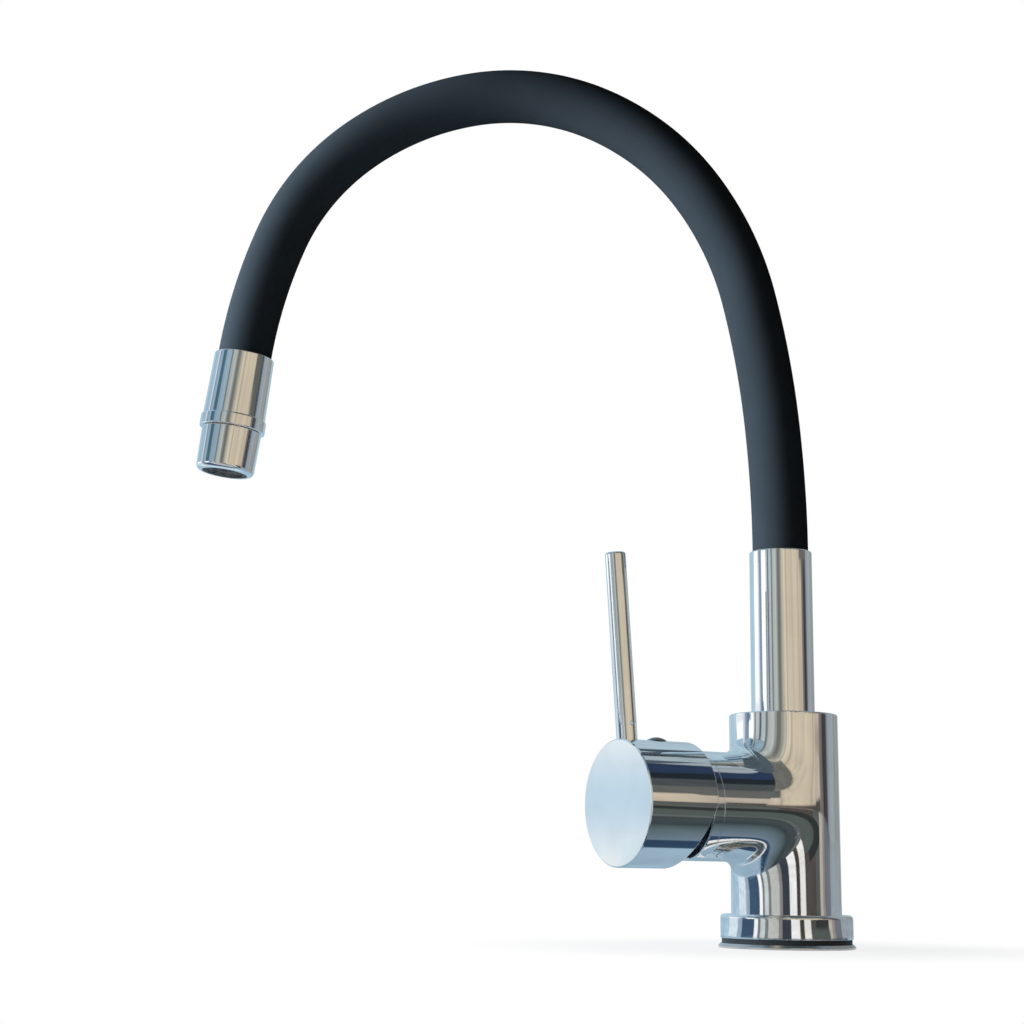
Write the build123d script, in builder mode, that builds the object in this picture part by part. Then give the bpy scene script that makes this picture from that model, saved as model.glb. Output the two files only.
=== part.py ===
from build123d import *
import math
import os

os.makedirs("parts", exist_ok=True)

# Kitchen faucet with a bendable spout: a chromed tee body on a deck ring, a
# dial with a lever rod on a ceramic-disc cartridge, a short swivelling riser,
# and a black silicone sleeve over a wound gooseneck that carries the outlet.
# Lengths are in millimetres. The origin is on the deck, on the riser's axis.
# +Z is up, the spout reaches towards -X, and the dial points off to its near side.

# Fits and cuts that many pieces share
turning_gap = 0.08
passing_gap = 0.25
sliding_gap = 0.05
thread_gap = 0.1
overrun = 3.0

# Deck plate, gasket and base ring, stacked on the deck and wider than the barrel
deck_plate_rim = 1.0
deck_plate_t = 2.0
deck_plate_bevel = 1.0
gasket_inset = 0.5
gasket_band = 9.75
gasket_t = 2.2
base_ring_overhang = 4.75
base_ring_h = 10.2
base_ring_round = 1.6
base_flange_t = 2.0
base_flange_setback = 1.5

# Tee body: an upright barrel with a level neck for the cartridge
body_d = 48.0
body_rise = 41.4
body_rim_round = 0.8
neck_d = 47.0
neck_reach = 48.5
neck_height = 60.0
neck_turn = 32.8
junction_round = 8.0

# Water passages and threaded holes in the body
inlet_tap_d = 9.0
inlet_tap_depth = 12.0
inlet_spacing = 19.0
inlet_setback = 5.0
inlet_headroom = 0.5
stud_tap_d = 6.8
stud_tap_depth = 16.0
stud_reach = 12.5
port_d = 6.5
port_circle_d = 15.2
outlet_passage_d = 8.0
outlet_passage_setback = 13.0

# Ceramic-disc cartridge, stacked along the neck from its seat
cartridge_d = 35.0
cartridge_base_t = 6.0
cartridge_length = 36.0
housing_wall = 1.75
housing_flange_t = 2.5
housing_mouth_d = 24.8
locating_peg_d = 3.6
locating_peg_length = 3.5
locating_peg_offset = 14.0
port_seal_d = 10.2
port_seal_bore_d = 7.2
port_seal_t = 1.8
fixed_disc_t = 4.5
moving_disc_d = 22.6
moving_disc_t = 4.5
mixing_recess_d = 19.6
mixing_recess_t = 2.0
mixing_recess_edge = 0.5
driver_d = 23.0
driver_t = 5.5
carrier_neck_d = 24.2
carrier_neck_h = 6.5
carrier_slot_length = 18.0
ball_d = 8.0
ball_rise = 4.0
stem_arm = 11.0
stem_width = 8.0
stem_shank_d = 6.0
stem_root = 4.5
stem_length = 36.5
pivot_pin_d = 4.0
pivot_pin_inset = 0.6

# Clamping nut and the trim ring that covers it
nut_thread_d = 39.8
nut_thread_length = 6.5
nut_nose_d = 34.0
nut_nose_h = 5.2
nut_bore_d = 27.0
nut_slot_width = 4.0
nut_slot_depth = 2.6
nut_slot_count = 4
trim_ring_h = 5.3
trim_ring_round = 0.5

# Dial, its screw and cap, and the lever rod
dial_d = 53.75
dial_seam = 0.3
dial_length = 33.1
dial_wall = 2.9
dial_face_t = 9.5
dial_edge_bevel = 0.45
dial_cut_lean = 21.0
dial_boss_d = 18.0
dial_boss_length = 14.2
screw_d = 5.0
screw_length = 8.0
screw_hex = 2.5
screw_hex_depth = 3.0
screw_setback = 19.6
cap_d = 9.0
cap_rise = 1.5
cap_seat_depth = 0.6
cap_shank_d = 6.0
cap_shank_length = 2.6
rod_d = 9.0
rod_length = 80.2
rod_setback = 4.9
rod_lean = 4.4
rod_end_round = 1.0
rod_seat_depth = 0.6
rod_thread_d = 6.0
rod_thread_length = 10.0
rod_pin_hole_d = 1.5
rod_pin_hole_height = 6.5

# Riser tube and its swivel in the body
riser_d = 28.15
riser_length = 73.8
riser_rim_round = 0.5
spigot_d = 24.0
spigot_end_gap = 1.0
swivel_floor_t = 3.15
riser_passage_d = 12.0
glide_ring_t = 0.5
glide_ring_inset = 0.2
o_ring_section_d = 2.3
o_ring_groove_width = 2.8
o_ring_rise = 2.2
o_ring_pitch = 4.0
clip_t = 1.4
clip_depth = 5.0
clip_groove_depth = 1.1
clip_split = 5.0

# Bendable spout: sleeve outside, wound gooseneck, water hose inside.
# Each turn, in degrees, is one gooseneck link, from the riser to the outlet.
link_turns = (5.5, 7.5, 22.5, 29.25, 33.5, 28.0, 32.0, 14.5)
flex_length = 488.5
sleeve_d = 25.1
sleeve_bore_d = 20.2
gooseneck_d = 19.4
gooseneck_bore_d = 14.4
link_gap = 3.0
hose_d = 13.8
hose_bore_d = 9.0

# Fittings in both ends of the spout, by depth below the rim
sleeve_tuck = 8.0
gooseneck_tuck = 15.0
fitting_seat = 31.2
tail_flange_d = 19.0
tail_flange_t = 2.0
tail_stem_bore_d = 6.0
tail_barb_pitch = 4.0
tail_barb_count = 3
tail_barb_step = 0.35
tail_plug_d = 15.8
tail_plug_length = 11.0
tail_groove_depth = 4.0
crimp_length = 12.6
crimp_wall = 0.5
tail_ring_section_d = 1.8

# Outlet: socket with a raised band, then the aerator
socket_d = 28.2
socket_band_start_d = 29.3
socket_band_d = 30.8
socket_band_start = 30.3
socket_length = 36.1
socket_rim_round = 0.4
socket_band_round = 0.5
adaptor_length = 13.5
adaptor_thread_d = 23.8
adaptor_mouth_d = 18.0
adaptor_mouth_depth = 4.0
aerator_seam = 0.3
aerator_top_d = 28.0
aerator_end_d = 27.2
aerator_length = 20.5
aerator_lip_round = 2.4
aerator_lip_t = 2.6
aerator_mouth_d = 21.4
aerator_bore_d = 22.8
aerator_seal_t = 1.8
aerator_seal_bore_d = 14.0
regulator_d = 16.0
regulator_t = 2.4
regulator_hole_d = 1.6
regulator_hole_circle_d = 10.0
regulator_hole_count = 8
insert_floor_t = 1.6
insert_wall = 1.6
insert_hole_d = 2.4
insert_hole_pitch = 3.2
mesh_t = 0.6
mesh_hole_d = 1.1
mesh_hole_pitch = 1.6

# Directions and planes
turn = math.radians(neck_turn)
reach_direction = Vector(-math.cos(turn), -math.sin(turn), 0)
side_direction = Vector(math.sin(turn), -math.cos(turn), 0)
neck_centre = Vector(0, 0, neck_height)
neck_axis = Axis(neck_centre, reach_direction)


def neck_point(reach, rise=0):
    """A point on the neck's own centre plane, reach out from the barrel's axis."""
    return neck_centre + reach_direction * reach + Vector(0, 0, rise)


def neck_plane(reach):
    """A plane square to the neck, with its x sideways and its y up."""
    return Plane(origin=neck_point(reach), x_dir=side_direction, z_dir=reach_direction)


def cross_plane(reach):
    """A plane square to the neck's level cross axis, with its x along the neck."""
    return Plane(origin=neck_point(reach), x_dir=reach_direction, z_dir=side_direction)


# Widths, heights and reaches that several pieces meet at
base_ring_d = body_d + 2 * base_ring_overhang
deck_plate_d = base_ring_d + 2 * deck_plate_rim
gasket_d = base_ring_d - 2 * gasket_inset
deck_opening_d = gasket_d - 2 * gasket_band
base_flange_bore_d = deck_opening_d + 2 * base_flange_setback
gasket_foot = deck_plate_t
ring_foot = gasket_foot + gasket_t
body_foot = ring_foot + base_flange_t
foot_plane = Plane(origin=(0, 0, body_foot), x_dir=reach_direction, z_dir=(0, 0, 1))
body_top = neck_height + body_rise
riser_top = body_top + riser_length
chamber_d = cartridge_d + 2 * passing_gap
swivel_bore_d = spigot_d + 2 * turning_gap
swivel_floor = neck_height + chamber_d / 2 + swivel_floor_t
mouth_d = nut_thread_d + 2 * thread_gap
cartridge_end = neck_reach - nut_thread_length
cartridge_seat = cartridge_end - cartridge_length
port_circle_r = port_circle_d / 2
inlet_rise = port_circle_r * math.sin(math.radians(30))
inlet_top = neck_height + inlet_rise + port_d / 2 + inlet_headroom
inlet_reach = cartridge_seat - inlet_setback
outlet_passage_reach = cartridge_seat - outlet_passage_setback
clip_foot = body_top - clip_depth
clip_groove_d = swivel_bore_d + 2 * clip_groove_depth

# Deck plate: a thin stainless washer that spreads the clamping load
with BuildPart() as deck_plate:
    with BuildSketch(Plane.XY):
        Circle(deck_plate_d / 2)
        Circle(deck_opening_d / 2, mode=Mode.SUBTRACT)
    extrude(amount=deck_plate_t)
    plate_edge = deck_plate.edges().group_by(Axis.Z)[-1].sort_by(SortBy.RADIUS)[-1]
    chamfer(plate_edge, deck_plate_bevel)
deck_plate.part.label = "deck_plate"
export_step(deck_plate.part, "parts/deck_plate.step")

# Gasket: the rubber washer between the plate and the base ring
with BuildPart() as deck_gasket:
    with BuildSketch(Plane.XY.offset(gasket_foot)):
        Circle(gasket_d / 2)
        Circle(deck_opening_d / 2, mode=Mode.SUBTRACT)
    extrude(amount=gasket_t)
deck_gasket.part.label = "deck_gasket"
export_step(deck_gasket.part, "parts/deck_gasket.step")

# Base ring: a chromed skirt whose inner flange the barrel stands on
with BuildPart() as base_ring:
    with BuildSketch(Plane.XY.offset(ring_foot)):
        Circle(base_ring_d / 2)
    extrude(amount=base_ring_h)
    fillet(base_ring.edges().group_by(Axis.Z)[-1], base_ring_round)
    with BuildSketch(Plane.XY.offset(body_foot)):
        Circle(body_d / 2 + passing_gap)
    extrude(amount=base_ring_h, mode=Mode.SUBTRACT)
    with BuildSketch(Plane.XY.offset(ring_foot)):
        Circle(base_flange_bore_d / 2)
    extrude(amount=base_flange_t, mode=Mode.SUBTRACT)
base_ring.part.label = "base_ring"
export_step(base_ring.part, "parts/base_ring.step")

# Tee body: barrel and neck in one casting, bored for cartridge, riser and water
with BuildPart() as faucet_body:
    with BuildSketch(Plane.XY.offset(body_foot)):
        Circle(body_d / 2)
    extrude(amount=body_top - body_foot)
    fillet(faucet_body.edges().group_by(Axis.Z)[-1], body_rim_round)
    with BuildSketch(neck_plane(0)):
        Circle(neck_d / 2)
    extrude(amount=neck_reach)
    fillet(faucet_body.edges().filter_by(GeomType.BSPLINE), junction_round)
    # Cartridge chamber with a wider threaded mouth
    with BuildSketch(neck_plane(cartridge_seat)):
        Circle(chamber_d / 2)
    extrude(amount=neck_reach, mode=Mode.SUBTRACT)
    with BuildSketch(neck_plane(cartridge_end)):
        Circle(mouth_d / 2)
    extrude(amount=neck_reach, mode=Mode.SUBTRACT)
    # Two inlet ports high in the seat, one outlet port low in it
    with BuildSketch(neck_plane(inlet_reach)):
        with PolarLocations(port_circle_r, 2, start_angle=30, angular_range=240):
            Circle(port_d / 2)
    extrude(amount=inlet_setback, mode=Mode.SUBTRACT)
    with BuildSketch(neck_plane(outlet_passage_reach)):
        with Locations((0, -port_circle_r)):
            Circle(port_d / 2)
    extrude(amount=outlet_passage_setback, mode=Mode.SUBTRACT)
    with BuildSketch(neck_plane(cartridge_seat - locating_peg_length - passing_gap)):
        with Locations((0, locating_peg_offset), (0, -locating_peg_offset)):
            Circle(locating_peg_d / 2 + passing_gap)
    extrude(amount=locating_peg_length + passing_gap, mode=Mode.SUBTRACT)
    # Upright passages from the threaded inlets, and the stud's threaded hole
    with BuildSketch(foot_plane):
        with Locations((inlet_reach, inlet_spacing / 2), (inlet_reach, -inlet_spacing / 2)):
            Circle(port_d / 2)
    extrude(amount=inlet_top - body_foot, mode=Mode.SUBTRACT)
    with BuildSketch(foot_plane):
        with Locations((inlet_reach, inlet_spacing / 2), (inlet_reach, -inlet_spacing / 2)):
            Circle(inlet_tap_d / 2)
    extrude(amount=inlet_tap_depth, mode=Mode.SUBTRACT)
    with BuildSketch(foot_plane):
        with Locations((stud_reach, 0)):
            Circle(stud_tap_d / 2)
    extrude(amount=stud_tap_depth, mode=Mode.SUBTRACT)
    # Outlet passage up to the swivel bore, which has a groove for the clip
    with BuildSketch(foot_plane.offset(neck_height - port_circle_r - body_foot)):
        with Locations((outlet_passage_reach, 0)):
            Circle(outlet_passage_d / 2)
    extrude(amount=swivel_floor - neck_height + port_circle_r + overrun, mode=Mode.SUBTRACT)
    with BuildSketch(Plane.XY.offset(swivel_floor)):
        Circle(swivel_bore_d / 2)
    extrude(amount=body_top - swivel_floor + overrun, mode=Mode.SUBTRACT)
    with BuildSketch(Plane.XY.offset(clip_foot - passing_gap)):
        Circle(clip_groove_d / 2)
    extrude(amount=clip_t + 2 * passing_gap, mode=Mode.SUBTRACT)
faucet_body.part.label = "faucet_body"
export_step(faucet_body.part, "parts/faucet_body.step")

# Cartridge, from the seat outwards
base_top = cartridge_seat + cartridge_base_t
fixed_disc_top = base_top + fixed_disc_t
moving_disc_foot = fixed_disc_top + sliding_gap
driver_foot = moving_disc_foot + moving_disc_t
driver_top = driver_foot + driver_t
housing_bore_d = cartridge_d - 2 * housing_wall
carrier_foot = driver_top + sliding_gap
carrier_top = cartridge_end - housing_flange_t - sliding_gap
ball_reach = driver_foot + ball_rise
pivot_reach = ball_reach + stem_arm

# Port plate: the cartridge's plastic base, with pegs and seal pockets
with BuildPart() as cartridge_base:
    with BuildSketch(neck_plane(cartridge_seat)):
        Circle(cartridge_d / 2)
        with PolarLocations(port_circle_r, 3, start_angle=-90):
            Circle(port_d / 2, mode=Mode.SUBTRACT)
    extrude(amount=cartridge_base_t)
    with BuildSketch(neck_plane(cartridge_seat)):
        with PolarLocations(port_circle_r, 3, start_angle=-90):
            Circle(port_seal_d / 2 + passing_gap)
    extrude(amount=port_seal_t, mode=Mode.SUBTRACT)
    with BuildSketch(neck_plane(cartridge_seat)):
        with Locations((0, locating_peg_offset), (0, -locating_peg_offset)):
            Circle(locating_peg_d / 2)
    extrude(amount=-locating_peg_length)
cartridge_base.part.label = "cartridge_base"
export_step(cartridge_base.part, "parts/cartridge_base.step")

# Port seals: three rubber rings between the port plate and the seat
with BuildPart() as port_seals:
    with BuildSketch(neck_plane(cartridge_seat)):
        with PolarLocations(port_circle_r, 3, start_angle=-90):
            Circle(port_seal_d / 2)
            Circle(port_seal_bore_d / 2, mode=Mode.SUBTRACT)
    extrude(amount=port_seal_t)
port_seals.part.label = "port_seals"
export_step(port_seals.part, "parts/port_seals.step")

# Fixed ceramic disc, with the three ports
with BuildPart() as fixed_ceramic_disc:
    with BuildSketch(neck_plane(base_top)):
        Circle(housing_bore_d / 2 - passing_gap)
        with PolarLocations(port_circle_r, 3, start_angle=-90):
            Circle(port_d / 2, mode=Mode.SUBTRACT)
    extrude(amount=fixed_disc_t)
fixed_ceramic_disc.part.label = "fixed_ceramic_disc"
export_step(fixed_ceramic_disc.part, "parts/fixed_ceramic_disc.step")

# Moving ceramic disc: its recess joins the ports as it slides up
with BuildPart() as moving_ceramic_disc:
    with BuildSketch(neck_plane(moving_disc_foot)):
        Circle(moving_disc_d / 2)
    extrude(amount=moving_disc_t)
    with BuildSketch(neck_plane(moving_disc_foot)):
        Circle(mixing_recess_d / 2)
        with Locations((0, -mixing_recess_edge)):
            Rectangle(
                mixing_recess_d,
                mixing_recess_d,
                align=(Align.CENTER, Align.MIN),
                mode=Mode.SUBTRACT,
            )
    extrude(amount=mixing_recess_t, mode=Mode.SUBTRACT)
moving_ceramic_disc.part.label = "moving_ceramic_disc"
export_step(moving_ceramic_disc.part, "parts/moving_ceramic_disc.step")

# Disc driver: the plastic block that the stem's ball pushes
with BuildPart() as disc_driver:
    with BuildSketch(neck_plane(driver_foot)):
        Circle(driver_d / 2)
        Rectangle(
            ball_d + 2 * turning_gap,
            ball_d + 2 * turning_gap,
            mode=Mode.SUBTRACT,
        )
    extrude(amount=driver_t)
disc_driver.part.label = "disc_driver"
export_step(disc_driver.part, "parts/disc_driver.step")

# Cartridge housing: a plastic cup with a flange that holds the carrier in
with BuildPart() as cartridge_housing:
    with BuildSketch(neck_plane(base_top)):
        Circle(cartridge_d / 2)
        Circle(housing_bore_d / 2, mode=Mode.SUBTRACT)
    extrude(amount=cartridge_end - base_top)
    with BuildSketch(neck_plane(cartridge_end - housing_flange_t)):
        Circle(cartridge_d / 2)
        Circle(housing_mouth_d / 2, mode=Mode.SUBTRACT)
    extrude(amount=housing_flange_t)
cartridge_housing.part.label = "cartridge_housing"
export_step(cartridge_housing.part, "parts/cartridge_housing.step")

# Stem carrier: turns in the housing, slotted so that the stem can tilt in it
with BuildPart() as stem_carrier:
    with BuildSketch(neck_plane(carrier_foot)):
        Circle(housing_bore_d / 2 - turning_gap)
    extrude(amount=carrier_top - carrier_foot)
    with BuildSketch(neck_plane(carrier_top)):
        Circle(carrier_neck_d / 2)
    extrude(amount=carrier_neck_h)
    with BuildSketch(neck_plane(carrier_foot)):
        Rectangle(stem_width + 2 * passing_gap, carrier_slot_length)
    extrude(amount=carrier_top + carrier_neck_h - carrier_foot, mode=Mode.SUBTRACT)
    with BuildSketch(cross_plane(pivot_reach)):
        Circle(pivot_pin_d / 2 + turning_gap)
    extrude(amount=housing_bore_d, both=True, mode=Mode.SUBTRACT)
stem_carrier.part.label = "stem_carrier"
export_step(stem_carrier.part, "parts/stem_carrier.step")

# Pivot pin: the steel pin that the stem tilts on
with BuildPart() as pivot_pin:
    with BuildSketch(cross_plane(pivot_reach)):
        Circle(pivot_pin_d / 2)
    extrude(amount=housing_bore_d / 2 - pivot_pin_inset, both=True)
pivot_pin.part.label = "pivot_pin"
export_step(pivot_pin.part, "parts/pivot_pin.step")

# Cartridge stem: a square spindle with a ball end that moves the driver
with BuildPart() as cartridge_stem:
    with BuildSketch(neck_plane(pivot_reach - stem_root)):
        Rectangle(stem_width, stem_width)
    extrude(amount=stem_root + stem_length)
    with BuildSketch(neck_plane(ball_reach)):
        Circle(stem_shank_d / 2)
    extrude(amount=stem_arm)
    with Locations(neck_point(ball_reach)):
        Sphere(ball_d / 2)
    with BuildSketch(cross_plane(pivot_reach)):
        Circle(pivot_pin_d / 2 + turning_gap)
    extrude(amount=stem_width, both=True, mode=Mode.SUBTRACT)
cartridge_stem.part.label = "cartridge_stem"
export_step(cartridge_stem.part, "parts/cartridge_stem.step")

# Cartridge nut: the slotted brass nut that clamps the cartridge in the neck
with BuildPart() as cartridge_nut:
    with BuildSketch(neck_plane(cartridge_end)):
        Circle(nut_thread_d / 2)
    extrude(amount=neck_reach - cartridge_end)
    with BuildSketch(neck_plane(neck_reach)):
        Circle(nut_nose_d / 2)
    extrude(amount=nut_nose_h)
    with BuildSketch(neck_plane(cartridge_end)):
        Circle(nut_bore_d / 2)
    extrude(amount=neck_reach + nut_nose_h, mode=Mode.SUBTRACT)
    with BuildSketch(neck_plane(neck_reach + nut_nose_h - nut_slot_depth)):
        with PolarLocations(nut_nose_d / 2, nut_slot_count):
            Rectangle(nut_nose_d - nut_bore_d + 2 * overrun, nut_slot_width)
    extrude(amount=nut_slot_depth, mode=Mode.SUBTRACT)
cartridge_nut.part.label = "cartridge_nut"
export_step(cartridge_nut.part, "parts/cartridge_nut.step")

# Trim ring: the narrow chromed ring seen between the neck and the dial
with BuildPart() as trim_ring:
    with BuildSketch(neck_plane(neck_reach)):
        Circle(neck_d / 2)
    extrude(amount=trim_ring_h)
    trim_edge = trim_ring.edges().sort_by(neck_axis)[-1]
    fillet(trim_edge, trim_ring_round)
    with BuildSketch(neck_plane(neck_reach)):
        Circle(nut_nose_d / 2 + passing_gap)
    extrude(amount=trim_ring_h, mode=Mode.SUBTRACT)
trim_ring.part.label = "trim_ring"
export_step(trim_ring.part, "parts/trim_ring.step")

# Dial: reaches of its ends and inside, and the places of the screw, cap and rod
dial_rear = neck_reach + trim_ring_h + dial_seam
dial_front = dial_rear + dial_length
screw_reach = dial_front - screw_setback
rod_reach = dial_front - rod_setback
dial_r = dial_d / 2
dial_bore_d = dial_d - 2 * dial_wall
dial_floor = dial_front - dial_face_t
boss_end = dial_floor - dial_boss_length
stem_end = pivot_reach + stem_length
screw_plane = Plane(
    origin=neck_point(screw_reach, stem_width / 2),
    x_dir=reach_direction,
    z_dir=(0, 0, 1),
)
cap_plane = Plane(
    origin=neck_point(screw_reach, dial_r - cap_seat_depth),
    x_dir=reach_direction,
    z_dir=(0, 0, 1),
)
lean = math.radians(rod_lean)
rod_direction = reach_direction * math.sin(lean) + Vector(0, 0, math.cos(lean))
rod_seat = Plane(
    origin=neck_point(rod_reach, dial_r) - rod_direction * rod_seat_depth,
    x_dir=side_direction,
    z_dir=rod_direction,
)

# Dial: a cup whose lower back edge is cut away so that it can tilt
with BuildPart() as dial:
    with BuildSketch(neck_plane(dial_rear)):
        Circle(dial_r)
    extrude(amount=dial_front - dial_rear)
    chamfer(dial.edges().sort_by(neck_axis)[-1], dial_edge_bevel)
    with BuildSketch(neck_plane(dial_rear)):
        Circle(dial_bore_d / 2)
    extrude(amount=dial_floor - dial_rear, mode=Mode.SUBTRACT)
    with BuildSketch(neck_plane(boss_end)):
        Circle(dial_boss_d / 2)
    extrude(amount=dial_boss_length + overrun)
    with BuildSketch(neck_plane(boss_end)):
        Rectangle(stem_width + 2 * turning_gap, stem_width + 2 * turning_gap)
    extrude(amount=stem_end + sliding_gap - boss_end, mode=Mode.SUBTRACT)
    # Slanting cut under the neck: the section's x is the reach, its y the height
    cut_drop = dial_r + overrun
    cut_plane = Plane(
        origin=neck_point(dial_rear),
        x_dir=reach_direction,
        z_dir=side_direction * -1,
    )
    with BuildSketch(cut_plane):
        Polygon(
            (-overrun, 0),
            (0, 0),
            (cut_drop * math.tan(math.radians(dial_cut_lean)), -cut_drop),
            (-overrun, -cut_drop),
            align=None,
        )
    extrude(amount=dial_d, both=True, mode=Mode.SUBTRACT)
    # Screw hole in the boss, then the cap's hole and seat in the wall
    with BuildSketch(screw_plane):
        Circle(screw_d / 2 + turning_gap)
    extrude(amount=dial_boss_d / 2, mode=Mode.SUBTRACT)
    with BuildSketch(cap_plane):
        Circle(cap_shank_d / 2 + turning_gap)
    extrude(amount=-dial_wall - overrun, mode=Mode.SUBTRACT)
    with BuildSketch(cap_plane):
        Circle(cap_d / 2 + turning_gap)
    extrude(amount=overrun, mode=Mode.SUBTRACT)
    # The rod's flat seat and its threaded hole
    with BuildSketch(rod_seat):
        Circle(rod_d / 2 + turning_gap)
    extrude(amount=overrun, mode=Mode.SUBTRACT)
    with BuildSketch(rod_seat):
        Circle(rod_thread_d / 2 + thread_gap)
    extrude(amount=-rod_thread_length - passing_gap, mode=Mode.SUBTRACT)
dial.part.label = "dial"
export_step(dial.part, "parts/dial.step")

# Dial screw: the socket screw that pins the dial to the stem
with BuildPart() as dial_screw:
    with BuildSketch(screw_plane):
        Circle(screw_d / 2)
    extrude(amount=screw_length)
    with BuildSketch(screw_plane.offset(screw_length - screw_hex_depth)):
        RegularPolygon(screw_hex / 2, 6, major_radius=False)
    extrude(amount=screw_hex_depth, mode=Mode.SUBTRACT)
dial_screw.part.label = "dial_screw"
export_step(dial_screw.part, "parts/dial_screw.step")

# Screw cap: a domed plastic plug over the dial screw
cap_head_h = cap_seat_depth + cap_rise
cap_dome_r = ((cap_d / 2) ** 2 + cap_rise**2) / (2 * cap_rise)
with BuildPart() as screw_cap:
    with BuildSketch(cap_plane):
        Circle(cap_d / 2)
    extrude(amount=cap_head_h)
    with Locations(cap_plane.offset(cap_head_h - cap_dome_r)):
        Sphere(cap_dome_r, mode=Mode.INTERSECT)
    with BuildSketch(cap_plane):
        Circle(cap_shank_d / 2)
    extrude(amount=-cap_shank_length)
screw_cap.part.label = "screw_cap"
export_step(screw_cap.part, "parts/screw_cap.step")

# Lever rod: a round bar screwed into the dial, with a small tightening hole
with BuildPart() as lever_rod:
    with BuildSketch(rod_seat):
        Circle(rod_d / 2)
    extrude(amount=rod_seat_depth + rod_length)
    fillet(lever_rod.edges().sort_by(Axis.Z)[-1], rod_end_round)
    with BuildSketch(rod_seat):
        Circle(rod_thread_d / 2)
    extrude(amount=-rod_thread_length)
    hole_centre = rod_seat.origin + rod_direction * (rod_seat_depth + rod_pin_hole_height)
    with BuildSketch(Plane(origin=hole_centre, z_dir=side_direction)):
        Circle(rod_pin_hole_d / 2)
    extrude(amount=rod_d, both=True, mode=Mode.SUBTRACT)
lever_rod.part.label = "lever_rod"
export_step(lever_rod.part, "parts/lever_rod.step")

# Riser: the spigot turns in the body, and the mouth takes the sleeve
riser_foot = body_top + glide_ring_t + sliding_gap
spigot_foot = swivel_floor + spigot_end_gap
mouth_bore_d = sleeve_d + 2 * passing_gap
tail_bore_d = tail_plug_d + 2 * turning_gap
tail_bore_depth = fitting_seat + tail_plug_length + passing_gap
o_ring_r = swivel_bore_d / 2 - sliding_gap - o_ring_section_d / 2
o_ring_groove_d = swivel_bore_d - 2 * (2 * sliding_gap + o_ring_section_d)
o_ring_heights = (spigot_foot + o_ring_rise, spigot_foot + o_ring_rise + o_ring_pitch)

with BuildPart() as riser_tube:
    with BuildSketch(Plane.XY.offset(riser_foot)):
        Circle(riser_d / 2)
    extrude(amount=riser_top - riser_foot)
    fillet(riser_tube.edges().group_by(Axis.Z)[-1], riser_rim_round)
    with BuildSketch(Plane.XY.offset(spigot_foot)):
        Circle(spigot_d / 2)
    extrude(amount=riser_foot - spigot_foot)
    for height in o_ring_heights:
        with BuildSketch(Plane.XY.offset(height - o_ring_groove_width / 2)):
            Circle(riser_d / 2)
            Circle(o_ring_groove_d / 2, mode=Mode.SUBTRACT)
        extrude(amount=o_ring_groove_width, mode=Mode.SUBTRACT)
    with BuildSketch(Plane.XY.offset(clip_foot - passing_gap)):
        Circle(riser_d / 2)
        Circle(spigot_d / 2 - clip_groove_depth, mode=Mode.SUBTRACT)
    extrude(amount=clip_t + 2 * passing_gap, mode=Mode.SUBTRACT)
    with BuildSketch(Plane.XY.offset(spigot_foot)):
        Circle(riser_passage_d / 2)
    extrude(amount=riser_top - spigot_foot, mode=Mode.SUBTRACT)
    with BuildSketch(Plane.XY.offset(riser_top - tail_bore_depth)):
        Circle(tail_bore_d / 2)
    extrude(amount=tail_bore_depth, mode=Mode.SUBTRACT)
    with BuildSketch(Plane.XY.offset(riser_top - fitting_seat)):
        Circle(mouth_bore_d / 2)
    extrude(amount=fitting_seat, mode=Mode.SUBTRACT)
riser_tube.part.label = "riser_tube"
export_step(riser_tube.part, "parts/riser_tube.step")

# Glide ring: the thin plastic washer that the riser turns on
with BuildPart() as glide_ring:
    with BuildSketch(Plane.XY.offset(body_top)):
        Circle(riser_d / 2 - glide_ring_inset)
        Circle(swivel_bore_d / 2 + glide_ring_inset, mode=Mode.SUBTRACT)
    extrude(amount=glide_ring_t)
glide_ring.part.label = "glide_ring"
export_step(glide_ring.part, "parts/glide_ring.step")

# Swivel seals: two rubber rings in the spigot's grooves
with BuildPart() as swivel_o_rings:
    with Locations((0, 0, o_ring_heights[0]), (0, 0, o_ring_heights[1])):
        Torus(o_ring_r, o_ring_section_d / 2)
swivel_o_rings.part.label = "swivel_o_rings"
export_step(swivel_o_rings.part, "parts/swivel_o_rings.step")

# Swivel clip: the split ring that keeps the riser in the body
clip_bore_d = spigot_d - 2 * clip_groove_depth + 2 * turning_gap
with BuildPart() as swivel_clip:
    with BuildSketch(Plane.XY.offset(clip_foot)):
        Circle(clip_groove_d / 2 - passing_gap)
        Circle(clip_bore_d / 2, mode=Mode.SUBTRACT)
        with Locations((clip_groove_d / 2, 0)):
            Rectangle(clip_groove_d, clip_split, mode=Mode.SUBTRACT)
    extrude(amount=clip_t)
swivel_clip.part.label = "swivel_clip"
export_step(swivel_clip.part, "parts/swivel_clip.step")

# Route of the spout in its own plane: x towards -X, y up. Each link is one arc,
# tangent to the next, and a heading is measured from straight up, in degrees.
spout_plane = Plane(origin=(0, 0, 0), x_dir=(-1, 0, 0), z_dir=(0, 1, 0))
link_length = flex_length / len(link_turns)


def heading_pair(heading):
    """Sideways and upward parts of a unit step along the route."""
    return math.sin(math.radians(heading)), math.cos(math.radians(heading))


def straight_on(point, heading, distance):
    """The point that a straight run from this one gets to."""
    side, up = heading_pair(heading)
    return point[0] + side * distance, point[1] + up * distance


def arc_radius(turned):
    """Radius of a whole link that turns by so many degrees."""
    return link_length / math.radians(turned)


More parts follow.
